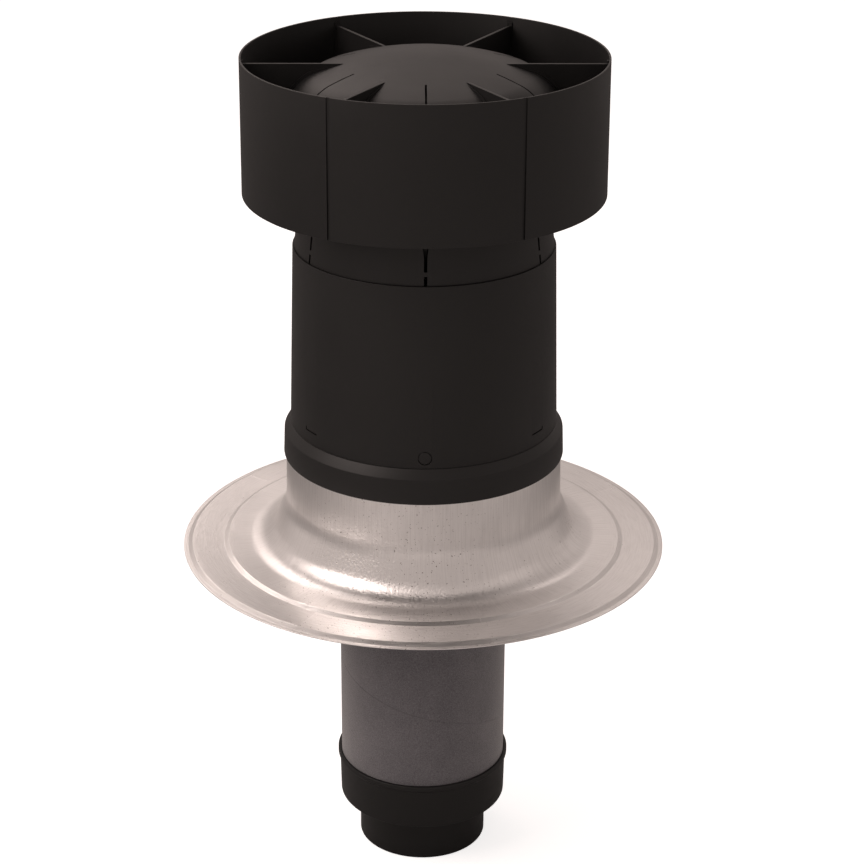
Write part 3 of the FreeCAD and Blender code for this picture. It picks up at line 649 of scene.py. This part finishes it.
def makeJacket(size, material):
    wall = size["wall"]
    corners = [
        (size["footRadius"], size["foot"], size["bend"]),
        (size["topRadius"], size["top"], size["bend"]),
        (size["topRadius"] - wall, size["top"], size["bend"]),
        (size["footRadius"] - wall, size["foot"], size["bend"]),
    ]
    piece = spun("jacketTube", roundOutline(corners), 240)
    cut(piece, [crossPin(size["holeRadius"], 4 * size["footRadius"], size["buttonHeight"])])
    slits, legs = [], []
    half = size["slitWidth"] / 2
    low, high = size["slitHeight"] - half, size["slitHeight"] + half
    legSpan = math.degrees(size["slitWidth"] / size["footRadius"])
    outer, inner = size["footRadius"] + 2, size["footRadius"] - 3 * wall
    for front in (90, 270):
        for side in (-1, 1):
            end = front + side * size["slitAngle"]
            start = end if side < 0 else end - size["slitSpan"]
            slits.append(spun("slit", [(inner, low), (outer, low), (outer, high), (inner, high)],
                              8, size["slitSpan"], start))
            top = high + size["slitRise"] - half
            legs.append(spun("slitLeg", [(inner, low), (outer, low), (outer, top), (inner, top)],
                             1, legSpan, end - legSpan / 2))
    cut(piece, slits)
    cut(piece, legs)
    finishPiece(piece, "outer_jacket", material)


button = {"radius": 6.0, "height": 140.8, "face": 128.55, "wall": 2.2, "stem": 3.6,
          "stemInner": 119.9, "rim": 0.5}


def makeButtons(size, material):
    heads = []
    length = size["face"] - size["wall"] - size["stemInner"]
    for side in (-1, 1):
        head = crossPin(size["radius"], size["wall"], size["height"],
                        side * (size["face"] - size["wall"] / 2), 64)
        head.name = "buttonHead"
        bevel = head.modifiers.new("rim", "BEVEL")
        bevel.width, bevel.segments = size["rim"] * mm, 3
        bevel.limit_method = "ANGLE"
        bpy.ops.object.modifier_apply(modifier="rim")
        stem = crossPin(size["stem"], length, size["height"],
                        side * (size["stemInner"] + length / 2))
        heads += [head, stem]
    finishPiece(joined(heads), "lock_buttons", material)


cowl = {
    "foot": 292.9, "spigotRadius": 121.8, "seam": 306.9, "coneRadius": 122.7,
    "top": 385.0, "topRadius": 113.44, "lip": 2.6, "wall": 2.2, "bend": 0.6,
    "throat": 303.0, "bore": 61.7, "duct": 2.0, "spigotFoot": 262.0, "hollowTop": 380.0,
    "slots": 6, "slotWidth": 3.0, "mouthWidth": 5.2, "windowTop": 315.5,
    "slotFoot": 319.5, "taperFoot": 332.0, "taperTop": 343.0, "slotInner": 105.7,
    "seamBend": 0.3, "throatBend": 6.0,
}


def makeCowl(size, material):
    wall, bend = size["wall"], size["bend"]
    funnelTop = size["topRadius"] - size["lip"]
    lean = (funnelTop - size["bore"]) / (size["top"] - size["throat"])
    across = size["duct"] * math.hypot(1, lean)
    slope = (size["coneRadius"] - size["topRadius"]) / (size["top"] - size["seam"])
    coneInner = size["coneRadius"] - wall - (size["hollowTop"] - size["seam"]) * slope
    corners = [
        (size["spigotRadius"], size["foot"]),
        (size["spigotRadius"], size["seam"]),
        (size["coneRadius"], size["seam"], size["seamBend"]),
        (size["topRadius"], size["top"], bend),
        (funnelTop, size["top"], bend),
        (size["bore"], size["throat"], size["throatBend"]),
        (size["bore"], size["spigotFoot"], bend),
        (size["bore"] + size["duct"], size["spigotFoot"], bend),
        (size["bore"] + size["duct"], size["throat"] + (size["duct"] - across) / lean,
         size["throatBend"]),
        (size["bore"] + across + (size["hollowTop"] - size["throat"]) * lean, size["hollowTop"]),
        (coneInner, size["hollowTop"]),
        (size["coneRadius"] - wall, size["seam"] + wall),
        (size["spigotRadius"] - wall, size["seam"]),
        (size["spigotRadius"] - wall, size["foot"]),
    ]
    piece = spun("cowlMoulding", roundOutline(corners), 240)
    outer, inner = size["coneRadius"] + 3, size["slotInner"]
    tools = []
    for index in range(size["slots"]):
        azimuth = 30 + 360 * index / size["slots"]
        tools.append(slab("window", [
            (inner, size["seam"] - 0.01), (outer, size["seam"] - 0.01),
            (outer, size["windowTop"]), (inner, size["windowTop"])], size["slotWidth"], azimuth))
        tools.append(slotTool(size, inner, outer, azimuth))
    cut(piece, tools)
    finishPiece(piece, "cowl_base", material)


# The tapered slot is drawn face on and pushed out from its inner end.
def slotTool(size, inner, outer, azimuth):
    narrow, wide = size["slotWidth"] / 2, size["mouthWidth"] / 2
    high = size["top"] + 3
    corners = [(narrow, size["slotFoot"]), (narrow, size["taperFoot"]),
               (wide, size["taperTop"]), (wide, high), (-wide, high),
               (-wide, size["taperTop"]), (-narrow, size["taperFoot"]),
               (-narrow, size["slotFoot"])]
    return pushed("slot", [(inner, y, z) for y, z in corners], (outer - inner, 0, 0), azimuth)


hood = {
    "radius": 128.0, "foot": 415.0, "top": 487.9, "crownBend": 303.0, "shoulderBend": 43.3,
    "wall": 2.2, "grooveInner": 74.0, "grooveFoot": 437.0, "grooveWidth": 1.8,
    "grooveDepth": 3.0, "legWall": 2.4, "legTop": 442.0, "legInner": 98.0, "legTip": 323.0,
    "legClearance": 0.6, "fins": 6, "finWall": 3.0, "gap": 0.3, "channelFoot": 425.0,
    "lipInner": 79.0, "lipFull": 104.0, "lipHeight": 3.0, "lipWall": 1.1,
}


# Crown, shoulder and skirt of the hood, moved out by an offset.
def hoodCurve(size, offset, inner=0, foot=None, count=40):
    crownCentre = size["top"] - size["crownBend"]
    shoulder = size["radius"] - size["shoulderBend"]
    height = crownCentre + math.sqrt(
        (size["crownBend"] - size["shoulderBend"]) ** 2 - shoulder ** 2)
    lean = math.atan2(shoulder, height - crownCentre)
    crown, bend = size["crownBend"] + offset, size["shoulderBend"] + offset
    first = math.asin(inner / crown)
    points = []
    for index in range(count + 1):
        angle = first + (lean - first) * index / count
        points.append((crown * math.sin(angle), crownCentre + crown * math.cos(angle)))
    for index in range(1, count + 1):
        angle = lean + (math.pi / 2 - lean) * index / count
        points.append((shoulder + bend * math.sin(angle), height + bend * math.cos(angle)))
    points.append((size["radius"] + offset, size["foot"] if foot is None else foot))
    return points


# The lips rise out of the dome towards the skirt.
def risingCurve(size):
    flat = hoodCurve(size, 0, size["lipInner"])
    full = hoodCurve(size, size["lipHeight"], size["lipInner"])
    points = []
    for low, high in zip(flat, full):
        share = (low[0] - size["lipInner"]) / (size["lipFull"] - size["lipInner"])
        points.append(tuple(Vector(low).lerp(Vector(high), min(max(share, 0.02), 1))))
    return points


def makeHood(size, material, cowlSize):
    outer = hoodCurve(size, 0)
    inner = hoodCurve(size, -size["wall"])
    piece = spun("hoodMoulding", outer + inner[::-1], 288, closed=False)
    lips, channels, grooves, legs = [], [], [], []
    lipSpan = size["finWall"] + 2 * (size["gap"] + size["lipWall"])
    channelSpan = size["finWall"] + 2 * size["gap"]
    lean = ((cowlSize["topRadius"] - cowlSize["lip"] - cowlSize["bore"])
            / (cowlSize["top"] - cowlSize["throat"]))
    slope = ((cowlSize["coneRadius"] - cowlSize["topRadius"])
             / (cowlSize["top"] - cowlSize["seam"]))

    def airSide(radius):
        return (cowlSize["top"] + size["legClearance"]
                - (cowlSize["topRadius"] - cowlSize["lip"] - radius) / lean)

    slotInner = cowlSize["slotInner"] + size["gap"]
    coneFace = (cowlSize["coneRadius"] - 0.4
                - (cowlSize["taperTop"] - cowlSize["seam"]) * slope)
    for index in range(size["fins"]):
        azimuth = 60 * index
        lips.append(slab("lips", risingCurve(size) + hoodCurve(
            size, -size["wall"] / 2, size["lipInner"])[::-1], lipSpan, azimuth))
        over = hoodCurve(size, size["lipHeight"] + 1, size["lipInner"] - 4, size["channelFoot"])
        under = hoodCurve(size, 0.01, size["lipInner"] - 4, size["channelFoot"])
        channels.append(slab("channel", over + under[::-1], channelSpan, azimuth))
        over = hoodCurve(size, 2, size["grooveInner"])
        under = hoodCurve(size, -size["grooveDepth"], size["grooveInner"])
        grooves.append(slab("groove", [point for point in over + under[::-1]
                                       if point[1] > size["grooveFoot"]],
                            size["grooveWidth"], azimuth + 30))
        legs.append(slab("leg", [
            (size["radius"] - size["wall"] / 2, size["legTop"]),
            (size["radius"] - size["wall"] / 2, size["foot"]),
            (coneFace, cowlSize["taperTop"]),
            (slotInner, size["legTip"]),
            (slotInner, airSide(slotInner)),
            (size["legInner"], airSide(size["legInner"])),
            (size["legInner"], size["foot"])], size["legWall"], azimuth + 30))
    cut(piece, lips, "UNION")
    cut(piece, legs, "UNION")
    cut(piece, channels)
    cut(piece, grooves)
    finishPiece(piece, "dome_hood", material, 25)


ring = {
    "radius": 169.8, "footRadius": 170.4, "top": 487.0, "foot": 358.5, "wall": 2.0,
    "finWall": 3.0, "finTop": 478.8, "finFoot": 392.0, "fins": 6,
    "grooveWidth": 3.6, "grooveDepth": 0.8, "railWidth": 5.0, "railDepth": 1.2,
    "railRise": 3.0, "gap": 0.3, "stop": 2.2, "bend": 0.4,
}


def makeRing(size, material, hoodSize):
    corners = [
        (size["footRadius"], size["foot"], size["bend"]),
        (size["radius"], size["top"], size["bend"]),
        (size["radius"] - size["wall"], size["top"], size["bend"]),
        (size["footRadius"] - size["wall"], size["foot"], size["bend"]),
    ]
    piece = spun("ringMoulding", roundOutline(corners), 288)
    crownCentre = hoodSize["top"] - hoodSize["crownBend"]
    tip = math.sqrt((hoodSize["crownBend"] + size["gap"]) ** 2
                    - (size["finTop"] - crownCentre) ** 2)
    stop = hoodSize["radius"] + size["stop"]
    middle = size["wall"] / 2
    fins, rails, grooves = [], [], []
    for index in range(size["fins"]):
        azimuth = 60 * index
        fins.append(slab("fin", hoodCurve(hoodSize, size["gap"], tip, hoodSize["channelFoot"]) + [
            (stop, hoodSize["channelFoot"]),
            (size["footRadius"] - middle, size["finFoot"]),
            (size["radius"] - middle, size["finTop"])], size["finWall"], azimuth))
        rails.append(slab("rail", [
            (size["footRadius"] - size["wall"] - size["railDepth"], size["foot"]),
            (size["footRadius"] - middle, size["foot"]),
            (size["radius"] - middle, size["finTop"] + size["railRise"]),
            (size["radius"] - size["wall"] - size["railDepth"],
             size["finTop"] + size["railRise"])], size["railWidth"], azimuth))
        grooves.append(slab("groove", [
            (size["radius"] - size["grooveDepth"], size["foot"] - 2),
            (size["radius"] + 3, size["foot"] - 2),
            (size["radius"] + 3, size["top"] + 2),
            (size["radius"] - size["grooveDepth"], size["top"] + 2)],
            size["grooveWidth"], azimuth))
    cut(piece, fins, "UNION")
    cut(piece, rails, "UNION")
    cut(piece, grooves)
    finishPiece(piece, "wind_ring", material, 25)


pipe = {
    "radius": 83.0, "bore": 64.0, "foot": -252.0, "top": 299.0, "bend": 1.0,
    "seamPitch": 148.0, "seamAngle": 196.6, "seamHeight": -130.3, "seamWidth": 0.9,
    "seamDepth": 0.7,
}


# The foam was wound from a strip, so its seam runs down as a helix.
def seamTool(size):
    turns = (size["top"] - size["foot"]) / size["seamPitch"] + 1
    start = size["seamHeight"] + size["seamPitch"] * math.ceil(
        (size["top"] - size["seamHeight"]) / size["seamPitch"])
    half, outer = size["seamWidth"] / 2, size["radius"] + 1
    inner = size["radius"] - size["seamDepth"]
    tool = drawn("seam", [Vector((r, 0, z)) * mm for r, z in (
        (inner, 0), (outer, half), (outer, -half), (inner, 0))])
    bpy.ops.mesh.remove_doubles(threshold=mergeWithin)
    bpy.ops.object.mode_set(mode="OBJECT")
    winding = tool.modifiers.new("winding", "SCREW")
    winding.angle = 2 * math.pi * turns
    winding.screw_offset = -size["seamPitch"] * turns * mm
    winding.steps = winding.render_steps = round(96 * turns)
    bpy.ops.object.modifier_apply(modifier="winding")
    bpy.ops.object.mode_set(mode="EDIT")
    bpy.ops.mesh.select_all(action="DESELECT")
    bpy.ops.mesh.select_mode(type="EDGE")
    bpy.ops.mesh.select_non_manifold()
    bpy.ops.mesh.fill_holes(sides=4)
    bpy.ops.mesh.select_all(action="SELECT")
    bpy.ops.mesh.normals_make_consistent(inside=False)
    bpy.ops.mesh.select_mode(type="VERT")
    bpy.ops.object.mode_set(mode="OBJECT")
    tool.data.transform(Matrix.Translation((0, 0, start * mm))
                        @ Matrix.Rotation(math.radians(size["seamAngle"]), 4, "Z"))
    return tool


def makePipe(size, material):
    corners = [(radius, height, size["bend"]) for radius, height in (
        (size["radius"], size["foot"]), (size["radius"], size["top"]),
        (size["bore"], size["top"]), (size["bore"], size["foot"]))]
    piece = spun("pipeFoam", divided(roundOutline(corners), 12), 192)
    cut(piece, [seamTool(size)])
    finishPiece(piece, "insulated_pipe", material)


reducer = {
    "rim": -237.7, "floor": -285.7, "radius": 84.7, "footRadius": 83.8, "lip": 1.9,
    "lipHeight": 5.0, "footBend": 0.8, "outlet": 64.2, "bore": 62.6, "outletFoot": -334.8,
    "insertBore": 61.7, "insertTop": -205.0, "duct": 2.0, "pipe": 83.3, "pipeFoot": -252.0,
    "rimBend": 0.7, "lipBend": 1.0, "edgeBend": 0.6, "socketBend": 0.4,
}


def makeReducer(size, material):
    duct = size["duct"]
    corners = [
        (size["radius"] + size["lip"], size["rim"], size["rimBend"]),
        (size["radius"] + size["lip"], size["rim"] - size["lipHeight"], size["lipBend"]),
        (size["radius"], size["rim"] - size["lipHeight"] - size["lip"], size["lipBend"]),
        (size["footRadius"], size["floor"], size["footBend"]),
        (size["outlet"], size["floor"], size["edgeBend"]),
        (size["outlet"], size["outletFoot"], size["edgeBend"]),
        (size["bore"], size["outletFoot"], size["edgeBend"]),
        (size["bore"], size["floor"]),
        (size["insertBore"], size["floor"]),
        (size["insertBore"], size["insertTop"], size["edgeBend"]),
        (size["insertBore"] + duct, size["insertTop"], size["edgeBend"]),
        (size["insertBore"] + duct, size["floor"] + duct),
        (size["footRadius"] - duct, size["floor"] + duct),
        (size["footRadius"] - duct, size["pipeFoot"] - duct),
        (size["pipe"], size["pipeFoot"]),
        (size["pipe"], size["rim"], size["socketBend"]),
    ]
    piece = spun("reducerMoulding", roundOutline(corners), 192)
    finishPiece(piece, "reducer", material)


plastic = blackPlastic("blackPlastic")
makeFlashing(flashing, spunMetal("spunAluminium"))
makeCollar(collar, plastic)
makeJacket(jacket, plastic)
makeButtons(button, plastic)
makeCowl(cowl, plastic)
makeHood(hood, plastic, cowl)
makeRing(ring, plastic, hood)
makePipe(pipe, greyFoam("greyFoam"))
makeReducer(reducer, plastic)
print("pieces made")

addFloor(paleFloor)
addCard(blackCard)
addRoom(roomLight)
for lampName, lamp in lamps.items():
    addLamp(lampName, lamp)
addCamera(cameraView)
bpy.context.scene.view_settings.view_transform = "Standard"
print("studio set")
